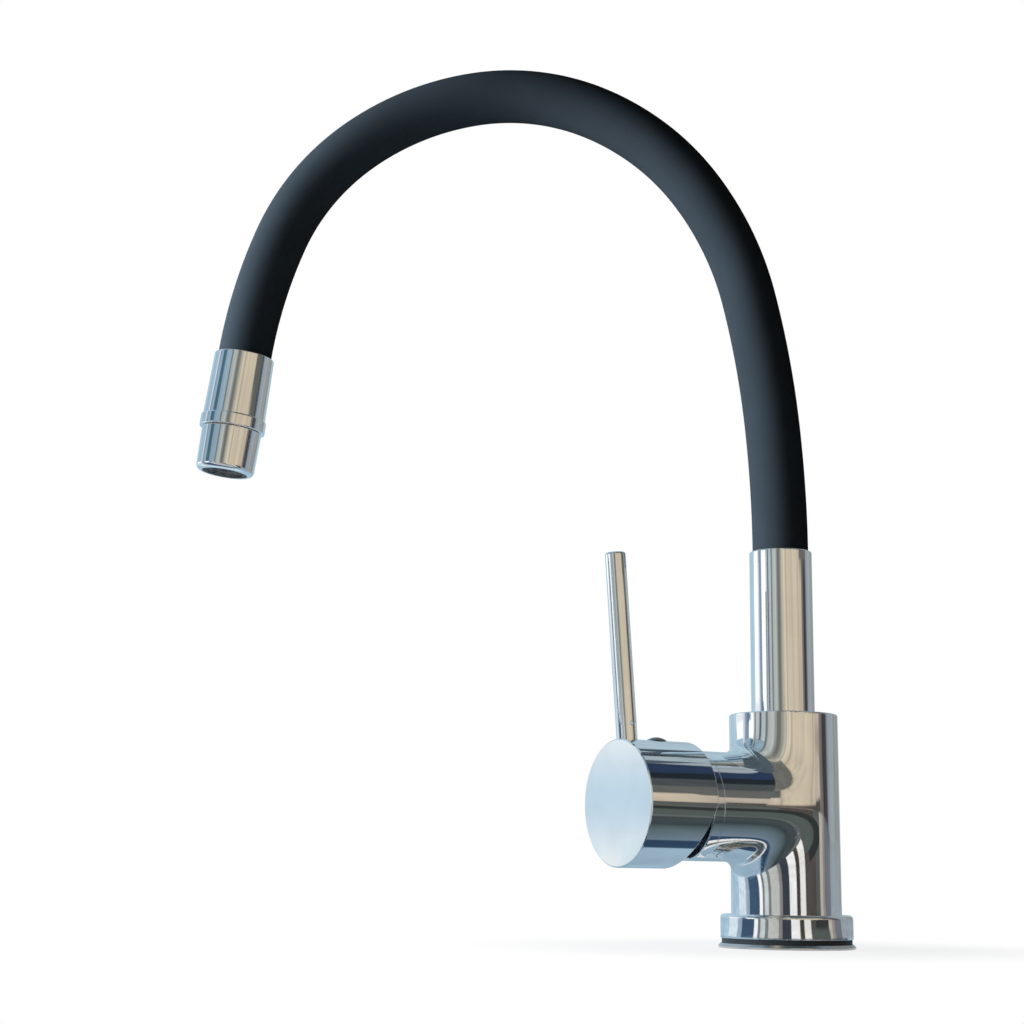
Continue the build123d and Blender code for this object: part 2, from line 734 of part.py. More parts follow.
def along_arc(point, heading, radius, distance):
    """Where an arc has got to after a distance: the point and the heading."""
    end_heading = heading + math.degrees(distance / radius)
    start_side, start_up = heading_pair(heading)
    end_side, end_up = heading_pair(end_heading)
    end_x = point[0] + radius * (start_up - end_up)
    end_y = point[1] + radius * (end_side - start_side)
    return (end_x, end_y), end_heading


route_starts = [((0, riser_top), 0)]
for turned in link_turns:
    start_point, start_heading = route_starts[-1]
    route_starts.append(
        along_arc(start_point, start_heading, arc_radius(turned), link_length)
    )
end_point, end_heading = route_starts[-1]
end_side, end_up = heading_pair(end_heading)

# Planes of the two rims, each with its z pointing into its fitting
riser_rim = Plane(origin=(0, 0, riser_top), x_dir=(1, 0, 0), z_dir=(0, 0, -1))
outlet_rim = Plane(
    origin=(-end_point[0], 0, end_point[1]),
    x_dir=(0, 1, 0),
    z_dir=(-end_side, 0, end_up),
)
rims = {"riser": riser_rim, "outlet": outlet_rim}

# Silicone sleeve: the smooth black skin of the spout, tucked into both rims
with BuildPart() as silicone_sleeve:
    with BuildLine(spout_plane) as sleeve_route:
        Line((0, riser_top - sleeve_tuck), (0, riser_top))
        for (point, heading), turned in zip(route_starts, link_turns):
            JernArc(point, heading_pair(heading), arc_radius(turned), -turned)
        Line(end_point, straight_on(end_point, end_heading, sleeve_tuck))
    with BuildSketch(Plane.XY.offset(riser_top - sleeve_tuck)):
        Circle(sleeve_d / 2)
        Circle(sleeve_bore_d / 2, mode=Mode.SUBTRACT)
    sweep()
silicone_sleeve.part.label = "silicone_sleeve"
export_step(silicone_sleeve.part, "parts/silicone_sleeve.step")
sleeve_area = math.pi * (sleeve_d**2 - sleeve_bore_d**2) / 4
sleeve_length = flex_length + 2 * sleeve_tuck
print("silicone sleeve", round(sleeve_length, 1), "mm long, volume over section times length",
      round(silicone_sleeve.part.volume / (sleeve_area * sleeve_length), 4))

# Water hose: runs inside the gooseneck from tail to tail
hose_tuck = fitting_seat - tail_flange_t - sliding_gap
with BuildPart() as water_hose:
    with BuildLine(spout_plane) as hose_route:
        Line((0, riser_top - hose_tuck), (0, riser_top))
        for (point, heading), turned in zip(route_starts, link_turns):
            JernArc(point, heading_pair(heading), arc_radius(turned), -turned)
        Line(end_point, straight_on(end_point, end_heading, hose_tuck))
    with BuildSketch(Plane.XY.offset(riser_top - hose_tuck)):
        Circle(hose_d / 2)
        Circle(hose_bore_d / 2, mode=Mode.SUBTRACT)
    sweep()
water_hose.part.label = "water_hose"
export_step(water_hose.part, "parts/water_hose.step")
hose_area = math.pi * (hose_d**2 - hose_bore_d**2) / 4
hose_length = flex_length + 2 * hose_tuck
print("water hose", round(hose_length, 1), "mm long, volume over section times length",
      round(water_hose.part.volume / (hose_area * hose_length), 4))

# Gooseneck links: the wound tube, parted where the spout is made to bend.
# The first and last links run straight on into their fittings.
last_link = len(link_turns)
for number, turned in enumerate(link_turns, start=1):
    radius = arc_radius(turned)
    trim_start = 0 if number == 1 else link_gap / 2
    trim_end = 0 if number == last_link else link_gap / 2
    arc_start, arc_heading = route_starts[number - 1]
    arc_start, arc_heading = along_arc(arc_start, arc_heading, radius, trim_start)
    arc_length = link_length - trim_start - trim_end
    with BuildPart() as gooseneck_link:
        with BuildLine(spout_plane) as link_route:
            if number == 1:
                Line((0, riser_top - gooseneck_tuck), (0, riser_top))
            JernArc(
                arc_start,
                heading_pair(arc_heading),
                radius,
                -math.degrees(arc_length / radius),
            )
            if number == last_link:
                Line(end_point, straight_on(end_point, end_heading, gooseneck_tuck))
        link_wire = link_route.wires()[0]
        with BuildSketch(Plane(origin=link_wire @ 0, z_dir=link_wire % 0)):
            Circle(gooseneck_d / 2)
            Circle(gooseneck_bore_d / 2, mode=Mode.SUBTRACT)
        sweep()
    gooseneck_link.part.label = f"gooseneck_link_{number}"
    export_step(gooseneck_link.part, f"parts/gooseneck_link_{number}.step")
    print("gooseneck link", number, "bend radius", round(radius, 1), "mm")

# Fittings that both ends of the spout share, placed by depth below the rim
bush_top = sleeve_tuck + passing_gap
crimp_start = gooseneck_tuck + 2 * passing_gap
hose_end = hose_tuck
tail_stem_d = hose_bore_d - 2 * (turning_gap + tail_barb_step)
tail_tip = hose_end - tail_barb_pitch * tail_barb_count
groove_floor_d = tail_bore_d - 2 * (2 * sliding_gap + tail_ring_section_d)
groove_width = tail_ring_section_d + 2 * passing_gap
groove_top = fitting_seat + tail_groove_depth
for end, rim in rims.items():
    # Gooseneck bush: the brass socket that grips the gooseneck's end
    with BuildPart() as gooseneck_bush:
        with BuildSketch(rim.offset(bush_top)):
            Circle(mouth_bore_d / 2 - turning_gap)
        extrude(amount=fitting_seat - bush_top)
        with BuildSketch(rim.offset(bush_top)):
            Circle(gooseneck_d / 2 + turning_gap)
        extrude(amount=gooseneck_tuck + passing_gap - bush_top, mode=Mode.SUBTRACT)
        with BuildSketch(rim.offset(bush_top)):
            Circle(hose_d / 2 + crimp_wall + 2 * passing_gap)
        extrude(amount=fitting_seat - bush_top, mode=Mode.SUBTRACT)
        with BuildSketch(rim.offset(fitting_seat - tail_flange_t)):
            Circle(tail_flange_d / 2 + turning_gap)
        extrude(amount=tail_flange_t, mode=Mode.SUBTRACT)
    gooseneck_bush.part.label = f"{end}_gooseneck_bush"
    export_step(gooseneck_bush.part, f"parts/{end}_gooseneck_bush.step")

    # Crimp sleeve: the steel band that clamps the hose on its tail
    with BuildPart() as hose_crimp:
        with BuildSketch(rim.offset(crimp_start)):
            Circle(hose_d / 2 + sliding_gap + crimp_wall)
            Circle(hose_d / 2 + sliding_gap, mode=Mode.SUBTRACT)
        extrude(amount=crimp_length)
    hose_crimp.part.label = f"{end}_hose_crimp"
    export_step(hose_crimp.part, f"parts/{end}_hose_crimp.step")

    # Hose tail: barbed brass stem, a flange on the seat, and a sealed plug
    with BuildPart() as hose_tail:
        for barb in range(tail_barb_count):
            barb_tip = tail_tip + barb * tail_barb_pitch
            with BuildSketch(rim.offset(barb_tip)):
                Circle(tail_stem_d / 2)
            with BuildSketch(rim.offset(barb_tip + tail_barb_pitch)):
                Circle(tail_stem_d / 2 + tail_barb_step)
            loft()
        with BuildSketch(rim.offset(fitting_seat - tail_flange_t)):
            Circle(tail_flange_d / 2)
        extrude(amount=tail_flange_t)
        with BuildSketch(rim.offset(hose_end)):
            Circle(tail_stem_d / 2)
        extrude(amount=fitting_seat - hose_end)
        with BuildSketch(rim.offset(fitting_seat)):
            Circle(tail_plug_d / 2)
        extrude(amount=tail_plug_length)
        with BuildSketch(rim.offset(groove_top)):
            Circle(tail_bore_d / 2)
            Circle(groove_floor_d / 2, mode=Mode.SUBTRACT)
        extrude(amount=groove_width, mode=Mode.SUBTRACT)
        with BuildSketch(rim.offset(tail_tip)):
            Circle(tail_stem_bore_d / 2)
        extrude(amount=fitting_seat + tail_plug_length, mode=Mode.SUBTRACT)
    hose_tail.part.label = f"{end}_hose_tail"
    export_step(hose_tail.part, f"parts/{end}_hose_tail.step")

    # Tail seal: the rubber ring in the tail's groove
    with BuildPart() as tail_o_ring:
        with Locations(rim.offset(groove_top + groove_width / 2)):
            Torus(
                tail_bore_d / 2 - sliding_gap - tail_ring_section_d / 2,
                tail_ring_section_d / 2,
            )
    tail_o_ring.part.label = f"{end}_tail_o_ring"
    export_step(tail_o_ring.part, f"parts/{end}_tail_o_ring.step")

# Outlet socket: a slightly flared chromed shell that ends in a raised band
with BuildPart() as outlet_socket:
    with BuildSketch(outlet_rim):
        Circle(socket_d / 2)
    with BuildSketch(outlet_rim.offset(socket_band_start)):
        Circle(socket_band_start_d / 2)
    loft()
    with BuildSketch(outlet_rim.offset(socket_band_start)):
        Circle(socket_band_d / 2)
    extrude(amount=socket_length - socket_band_start)
    outlet_axis = Axis(outlet_rim.origin, outlet_rim.z_dir)
    socket_edges = outlet_socket.edges().filter_by(GeomType.CIRCLE).sort_by(outlet_axis)
    fillet(socket_edges[0], socket_rim_round)
    band_edges = outlet_socket.edges().filter_by(
        lambda edge: edge.geom_type == GeomType.CIRCLE
        and edge.radius > (socket_band_start_d + socket_band_d) / 4
    )
    fillet(band_edges, socket_band_round)
    with BuildSketch(outlet_rim):
        Circle(mouth_bore_d / 2)
    extrude(amount=socket_length, mode=Mode.SUBTRACT)
outlet_socket.part.label = "outlet_socket"
export_step(outlet_socket.part, "parts/outlet_socket.step")

# Outlet adaptor: brass, screwed into the socket, with a thread for the aerator
adaptor_end = fitting_seat + adaptor_length
with BuildPart() as outlet_adaptor:
    with BuildSketch(outlet_rim.offset(fitting_seat)):
        Circle(mouth_bore_d / 2 - thread_gap)
    extrude(amount=socket_length - fitting_seat)
    with BuildSketch(outlet_rim.offset(socket_length)):
        Circle(adaptor_thread_d / 2)
    extrude(amount=adaptor_end - socket_length)
    with BuildSketch(outlet_rim.offset(fitting_seat)):
        Circle(riser_passage_d / 2)
    extrude(amount=adaptor_length, mode=Mode.SUBTRACT)
    with BuildSketch(outlet_rim.offset(fitting_seat)):
        Circle(tail_bore_d / 2)
    extrude(amount=tail_bore_depth - fitting_seat, mode=Mode.SUBTRACT)
    with BuildSketch(outlet_rim.offset(adaptor_end - adaptor_mouth_depth)):
        Circle(adaptor_mouth_d / 2)
    extrude(amount=adaptor_mouth_depth, mode=Mode.SUBTRACT)
outlet_adaptor.part.label = "outlet_adaptor"
export_step(outlet_adaptor.part, "parts/outlet_adaptor.step")

# Aerator housing: the chromed nozzle, tapering to a rounded lip
aerator_top = socket_length + aerator_seam
aerator_end = aerator_top + aerator_length
lip_shoulder = aerator_end - aerator_lip_t
seal_foot = adaptor_end + aerator_seal_t
with BuildPart() as aerator_housing:
    with BuildSketch(outlet_rim.offset(aerator_top)):
        Circle(aerator_top_d / 2)
    with BuildSketch(outlet_rim.offset(aerator_end)):
        Circle(aerator_end_d / 2)
    loft()
    lip_edge = aerator_housing.edges().filter_by(GeomType.CIRCLE).sort_by(outlet_axis)[-1]
    fillet(lip_edge, aerator_lip_round)
    with BuildSketch(outlet_rim.offset(aerator_top)):
        Circle(adaptor_thread_d / 2 + thread_gap)
    extrude(amount=seal_foot - aerator_top, mode=Mode.SUBTRACT)
    with BuildSketch(outlet_rim.offset(seal_foot)):
        Circle(aerator_bore_d / 2)
    extrude(amount=lip_shoulder - seal_foot, mode=Mode.SUBTRACT)
    with BuildSketch(outlet_rim.offset(lip_shoulder)):
        Circle(aerator_mouth_d / 2)
    extrude(amount=aerator_lip_t, mode=Mode.SUBTRACT)
aerator_housing.part.label = "aerator_housing"
export_step(aerator_housing.part, "parts/aerator_housing.step")

# Aerator seal: a flat rubber washer under the adaptor's end
with BuildPart() as aerator_seal:
    with BuildSketch(outlet_rim.offset(adaptor_end)):
        Circle(adaptor_thread_d / 2 - thread_gap)
        Circle(aerator_seal_bore_d / 2, mode=Mode.SUBTRACT)
    extrude(amount=aerator_seal_t)
aerator_seal.part.label = "aerator_seal"
export_step(aerator_seal.part, "parts/aerator_seal.step")

# Aerator insert: a plastic cup whose pierced floor breaks up the stream
mesh_foot = lip_shoulder
mesh_top = mesh_foot - mesh_t
insert_d = aerator_bore_d - 2 * turning_gap
insert_floor = mesh_top - insert_floor_t
grid_r = aerator_mouth_d / 2 - insert_wall
insert_rows = math.ceil(2 * grid_r / insert_hole_pitch)
with BuildPart() as aerator_insert:
    with BuildSketch(outlet_rim.offset(seal_foot)):
        Circle(insert_d / 2)
    extrude(amount=mesh_top - seal_foot)
    with BuildSketch(outlet_rim.offset(seal_foot)):
        Circle(insert_d / 2 - insert_wall)
    extrude(amount=insert_floor - seal_foot, mode=Mode.SUBTRACT)
    with BuildSketch(outlet_rim.offset(insert_floor)):
        with GridLocations(insert_hole_pitch, insert_hole_pitch, insert_rows, insert_rows) as grid:
            holes = [
                place for place in grid.local_locations
                if place.position.length < grid_r - insert_hole_d / 2
            ]
        with Locations(holes):
            Circle(insert_hole_d / 2)
    extrude(amount=insert_floor_t, mode=Mode.SUBTRACT)
aerator_insert.part.label = "aerator_insert"
export_step(aerator_insert.part, "parts/aerator_insert.step")

# Flow regulator: a pierced disc resting in the insert, on its floor
with BuildPart() as flow_regulator:
    with BuildSketch(outlet_rim.offset(insert_floor - regulator_t)):
        Circle(regulator_d / 2)
        with PolarLocations(regulator_hole_circle_d / 2, regulator_hole_count):
            Circle(regulator_hole_d / 2, mode=Mode.SUBTRACT)
    extrude(amount=regulator_t)
flow_regulator.part.label = "flow_regulator"
export_step(flow_regulator.part, "parts/flow_regulator.step")

# Aerator mesh: the fine screen seen in the mouth
mesh_rows = math.ceil(aerator_mouth_d / mesh_hole_pitch)
with BuildPart() as aerator_mesh:
    with BuildSketch(outlet_rim.offset(mesh_top)):
        Circle(insert_d / 2)
        with GridLocations(mesh_hole_pitch, mesh_hole_pitch, mesh_rows, mesh_rows) as net:
            gaps = [
                place for place in net.local_locations
                if place.position.length < grid_r - mesh_hole_d / 2
            ]
        with Locations(gaps):
            Rectangle(mesh_hole_d, mesh_hole_d, mode=Mode.SUBTRACT)
    extrude(amount=mesh_t)
aerator_mesh.part.label = "aerator_mesh"
export_step(aerator_mesh.part, "parts/aerator_mesh.step")
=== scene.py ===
import math

import bmesh
import bpy
from mathutils import Matrix, Vector


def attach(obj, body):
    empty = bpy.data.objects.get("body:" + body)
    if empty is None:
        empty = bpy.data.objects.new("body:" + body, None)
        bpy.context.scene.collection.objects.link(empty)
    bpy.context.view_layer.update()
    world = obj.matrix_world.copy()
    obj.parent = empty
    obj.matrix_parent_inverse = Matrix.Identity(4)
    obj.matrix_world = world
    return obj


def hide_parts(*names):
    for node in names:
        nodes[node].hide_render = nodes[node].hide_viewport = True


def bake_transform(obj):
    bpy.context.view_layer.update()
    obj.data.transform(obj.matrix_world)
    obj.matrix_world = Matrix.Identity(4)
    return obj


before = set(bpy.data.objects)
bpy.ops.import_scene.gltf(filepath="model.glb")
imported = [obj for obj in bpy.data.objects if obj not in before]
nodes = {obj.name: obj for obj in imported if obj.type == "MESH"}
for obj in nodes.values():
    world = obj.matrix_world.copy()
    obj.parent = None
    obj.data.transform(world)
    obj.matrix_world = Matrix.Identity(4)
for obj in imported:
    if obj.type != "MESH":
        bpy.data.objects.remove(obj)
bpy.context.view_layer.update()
scene = bpy.context.scene
scene.view_settings.view_transform = "Standard"
# The chromed pieces mirror one another many times over where they meet
scene.cycles.max_bounces = 16
scene.cycles.glossy_bounces = 12

# Camera
# The faucet is seen from low in front, a little to the left of its riser,
# through a long lens that is tipped up at the spout.
camera_place = Vector((-0.0605, -0.8183, 0.02785))
camera_azimuth = math.radians(4.36)
camera_tilt = math.radians(11.48)
camera_roll = math.radians(0.76)
sensor_width = 36.0
focal_share = 1.76653

forward = Vector((
    -math.sin(camera_azimuth) * math.cos(camera_tilt),
    math.cos(camera_azimuth) * math.cos(camera_tilt),
    math.sin(camera_tilt),
))
level_right = Vector((math.cos(camera_azimuth), math.sin(camera_azimuth), 0))
level_up = level_right.cross(forward)
right = level_right * math.cos(camera_roll) + level_up * math.sin(camera_roll)
up = level_up * math.cos(camera_roll) - level_right * math.sin(camera_roll)
camera_axes = Matrix((right, up, -forward)).transposed()
camera_data = bpy.data.cameras.new("camera")
camera_data.sensor_width = sensor_width
camera_data.lens = sensor_width * focal_share
camera = bpy.data.objects.new("camera", camera_data)
camera.matrix_world = Matrix.Translation(camera_place) @ camera_axes.to_4x4()
scene.collection.objects.link(camera)
scene.camera = camera

# Floor and backdrop
# A plain white sweep: the floor keeps a soft contact shadow near the faucet,
# and fades into the white surround before it reaches the horizon.
floor_size = 12.0
floor_shadow_reach = 0.05
floor_fade_reach = 0.16
white_share_in_shadow = 0.86
room_light = 0.012


def new_material(name, **settings):
    """A material with one Principled shader, whose even settings are given by name."""
    material = bpy.data.materials.new(name)
    material.use_nodes = True
    shader = material.node_tree.nodes["Principled BSDF"]
    for socket, value in settings.items():
        shader.inputs[socket.replace("_", " ")].default_value = value
    return material, material.node_tree, shader


def add_mesh(name, build, material):
    """An object made from a bmesh, which stays at the origin with its place in its mesh."""
    mesh = bpy.data.meshes.new(name)
    build.to_mesh(mesh)
    build.free()
    mesh.materials.append(material)
    piece = bpy.data.objects.new(name, mesh)
    scene.collection.objects.link(piece)
    return piece


def feed(tree, socket, value):
    """Links another node's output to a socket, or sets the socket to a fixed value."""
    if isinstance(value, bpy.types.NodeSocket):
        tree.links.new(value, socket)
    else:
        socket.default_value = value


def number_step(tree, operation, *values):
    """One sum on outputs or fixed numbers, and its result."""
    step = tree.nodes.new("ShaderNodeMath")
    step.operation = operation
    for socket, value in zip(step.inputs, values):
        feed(tree, socket, value)
    return step.outputs["Value"]


def vector_step(tree, operation, *values):
    """One step on outputs or fixed vectors, and its result: a vector, or what it measures."""
    step = tree.nodes.new("ShaderNodeVectorMath")
    step.operation = operation
    for socket, value in zip(step.inputs, values):
        feed(tree, socket, value)
    measures = operation in ("LENGTH", "DOT_PRODUCT")
    return step.outputs["Value" if measures else "Vector"]


def range_step(tree, value, source, target=(0, 1), smooth=False):
    """Carries a value from one range over to another, evenly or with smooth ends."""
    step = tree.nodes.new("ShaderNodeMapRange")
    step.interpolation_type = "SMOOTHSTEP" if smooth else "LINEAR"
    tree.links.new(value, step.inputs["Value"])
    for socket, limit in zip(("From Min", "From Max", "To Min", "To Max"), (*source, *target)):
        step.inputs[socket].default_value = limit
    return step.outputs["Result"]


def seen_directly(tree):
    """One for what the camera, a mirror or clear glass shows, and nought for light on a piece."""
    path = tree.nodes.new("ShaderNodeLightPath").outputs
    seen = number_step(tree, "MAXIMUM", path["Is Camera Ray"], path["Is Glossy Ray"])
    return number_step(tree, "MAXIMUM", seen, path["Is Transmission Ray"])


floor_material, tree, shader = new_material(
    "studio_floor", Base_Color=(0.50, 0.51, 0.52, 1), Roughness=0.6)
place = tree.nodes.new("ShaderNodeTexCoord").outputs["Object"]
white_share = range_step(
    tree, vector_step(tree, "LENGTH", place), (floor_shadow_reach, floor_fade_reach),
    (white_share_in_shadow, 1), smooth=True)
white = tree.nodes.new("ShaderNodeEmission")
mix = tree.nodes.new("ShaderNodeMixShader")
tree.links.new(number_step(tree, "MULTIPLY", seen_directly(tree), white_share), mix.inputs["Fac"])
tree.links.new(shader.outputs["BSDF"], mix.inputs[1])
tree.links.new(white.outputs["Emission"], mix.inputs[2])
tree.links.new(mix.outputs["Shader"], tree.nodes["Material Output"].inputs["Surface"])
floor_build = bmesh.new()
bmesh.ops.create_grid(floor_build, x_segments=1, y_segments=1, size=floor_size / 2)
floor = add_mesh("studio_floor", floor_build, floor_material)

world = bpy.data.worlds.new("studio_world")
scene.world = world
world.use_nodes = True
tree = world.node_tree
tree.nodes.clear()
dim = tree.nodes.new("ShaderNodeBackground")
dim.inputs["Strength"].default_value = room_light
bright = tree.nodes.new("ShaderNodeBackground")
bright.inputs["Color"].default_value = (1, 1, 1, 1)
mix = tree.nodes.new("ShaderNodeMixShader")
output = tree.nodes.new("ShaderNodeOutputWorld")
tree.links.new(seen_directly(tree), mix.inputs["Fac"])
tree.links.new(dim.outputs["Background"], mix.inputs[1])
tree.links.new(bright.outputs["Background"], mix.inputs[2])
tree.links.new(mix.outputs["Shader"], output.inputs["Surface"])

# Studio lamps
# A wide soft key hangs on the left, a weaker lamp overhead, and a faint one
# fills the right. The chrome doesn't mirror them: the cards are there for that.
subject_centre = Vector((-0.1, 0, 0.2))


def around(bearing, reach, height):
    """A place in the studio: the bearing is from the camera's side, positive to the right."""
    angle = math.radians(bearing)
    return Vector((reach * math.sin(angle), -reach * math.cos(angle), height))


for name, place, width, height, power, colour in (
    ("left_key", around(-80, 1.7, 0.42), 1.0, 0.8, 72, (0.77, 0.95, 1.12)),
    ("top_lamp", around(-150, 0.7, 1.9), 1.2, 1.2, 2.6, (1, 1, 1)),
    ("fill_lamp", around(60, 1.8, 0.9), 1.2, 1.2, 0.3, (1.0, 0.97, 0.93)),
):
    lamp_data = bpy.data.lights.new(name, "AREA")
    lamp_data.shape = "RECTANGLE"
    lamp_data.size = width
    lamp_data.size_y = height
    lamp_data.energy = power
    lamp_data.color = colour
    lamp = bpy.data.objects.new(name, lamp_data)
    lamp.location = place
    lamp.rotation_euler = (subject_centre - place).to_track_quat("-Z", "Y").to_euler()
    lamp.visible_glossy = False
    scene.collection.objects.link(lamp)

# Studio cards
# Coloured cards stand round the set where the camera doesn't look. Only the
# polished metal shows them, as the stripes that give chrome its depth.
card_reach = 1.6
card_top = 2.4
apron_start = 0.18
apron_height = 0.08
just_above_floor = 0.0004
# Noise of this scale, upright squash and detail breaks up a card's light, and
# keeps mostly within the span
streaks = (14, 0.12, 5)
clouds = (3, 0.6, 2)
noise_span = (0.3, 0.7)
# A card's edge runs into its neighbour over these degrees and metres, but over
# no more than a share of the card
soft_turn = 1.5
soft_rise = 0.03
soft_share = 0.3
# A neighbour is looked for this far past the edge
next_turn = 0.5
next_rise = 0.01
# A card is swept in flat strips, at least two, each no wider than these degrees
strip_turn = 2


def add_ramp(tree, stops, interpolation="LINEAR"):
    """A ramp node through the given places and colours."""
    ramp = tree.nodes.new("ShaderNodeValToRGB")
    ramp.color_ramp.interpolation = interpolation
    elements = ramp.color_ramp.elements
    for element, (position, colour) in zip((elements[0], elements[1]), (stops[0], stops[-1])):
        element.position = position
        element.color = (*colour, 1)
    for position, colour in stops[1:-1]:
        elements.new(position).color = (*colour, 1)
    return ramp


def mix_step(tree, kind, share, first, second):
    """Runs from the first colour, vector or number to the second as the share grows."""
    step = tree.nodes.new("ShaderNodeMix")
    step.data_type = kind
    feed(tree, step.inputs["Factor"], share)
    feed(tree, step.inputs["A"], first)
    feed(tree, step.inputs["B"], second)
    return step.outputs["Result"]


def between(colour, other):
    """The colour half way between two."""
    return [(a + b) / 2 for a, b in zip(colour, other)]


def card_material(name, colours, streak=0.12):
    """A card's own light, in the colours that a function makes from the place on the card.

    Faint upright streaks and broad clouds keep it from being dead even.
    """
    material = bpy.data.materials.new(name)
    material.use_nodes = True
    material.cycles.emission_sampling = "NONE"
    tree = material.node_tree
    tree.nodes.clear()
    place = tree.nodes.new("ShaderNodeTexCoord").outputs["Object"]
    levels = []
    for scale, squash, detail in (streaks, clouds):
        stretch = tree.nodes.new("ShaderNodeMapping")
        stretch.inputs["Scale"].default_value = (1, 1, squash)
        noise = tree.nodes.new("ShaderNodeTexNoise")
        noise.inputs["Scale"].default_value = scale
        noise.inputs["Detail"].default_value = detail
        tree.links.new(place, stretch.inputs["Vector"])
        tree.links.new(stretch.outputs["Vector"], noise.inputs["Vector"])
        levels.append(
            range_step(tree, noise.outputs["Fac"], noise_span, (1 - streak, 1 + streak)))
    glow = tree.nodes.new("ShaderNodeEmission")
    output = tree.nodes.new("ShaderNodeOutputMaterial")
    tree.links.new(number_step(tree, "MULTIPLY", *levels), glow.inputs["Strength"])
    tree.links.new(colours(tree, place), glow.inputs["Color"])
    tree.links.new(glow.outputs["Emission"], output.inputs["Surface"])
    return material


def soft_card(name, bearings, heights, colour, sides, ends):
    """A card that runs into its neighbours: sides are left and right, ends low and high."""
    turn = bearings[1] - bearings[0]
    side_share = min(soft_turn, soft_share * turn) / turn
    soft_height = min(soft_rise, soft_share * (heights[1] - heights[0]))

    def colours(tree, place):
        # The gradient rises once round the set, from the bearing -180 to 180
        facing = tree.nodes.new("ShaderNodeMapping")
        facing.inputs["Rotation"].default_value = (0, 0, math.pi / 2)
        bearing = tree.nodes.new("ShaderNodeTexGradient")
        bearing.gradient_type = "RADIAL"
        tree.links.new(place, facing.inputs["Vector"])
        tree.links.new(facing.outputs["Vector"], bearing.inputs["Vector"])
        across = range_step(
            tree, bearing.outputs["Fac"], [limit / 360 + 0.5 for limit in bearings])
        ramp = add_ramp(tree, (
            (0, between(colour, sides[0])),
            (side_share, colour),
            (1 - side_share, colour),
            (1, between(colour, sides[1])),
        ))
        tree.links.new(across, ramp.inputs["Fac"])
        split = tree.nodes.new("ShaderNodeSeparateXYZ")
        tree.links.new(place, split.inputs["Vector"])
        shown = ramp.outputs["Color"]
        # At its very end, the card is half way to its neighbour's colour
        for end_height, inner_height, end_colour in (
            (heights[0], heights[0] + soft_height, ends[0]),
            (heights[1], heights[1] - soft_height, ends[1]),
        ):
            share = range_step(
                tree, split.outputs["Z"], (inner_height, end_height), (0, 0.5))
            shown = mix_step(tree, "RGBA", share, shown, (*end_colour, 1))
        return shown

    return card_material(name, colours)


def even(colour):
    """One colour all over, in the form that card_material asks for."""
    def colours(tree, place):
        fixed = tree.nodes.new("ShaderNodeRGB")
        fixed.outputs["Color"].default_value = (*colour, 1)
        return fixed.outputs["Color"]
    return colours


def add_card(name, bearings, profile, material):
    """A card swept round the set between two bearings, from a profile of reaches and heights."""
    build = bmesh.new()
    verts = [build.verts.new(around(bearings[0], reach, height)) for reach, height in profile]
    edges = [build.edges.new(pair) for pair in zip(verts, verts[1:])]
    span = bearings[1] - bearings[0]
    bmesh.ops.spin(
        build,
        geom=verts + edges,
        cent=(0, 0, 0),
        axis=(0, 0, 1),
        angle=math.radians(span),
        steps=max(2, math.ceil(span / strip_turn)),
        use_merge=False,
    )
    card = add_mesh(name, build, material)
    card.visible_camera = False
    card.visible_diffuse = False
    card.visible_transmission = False
    card.visible_shadow = False


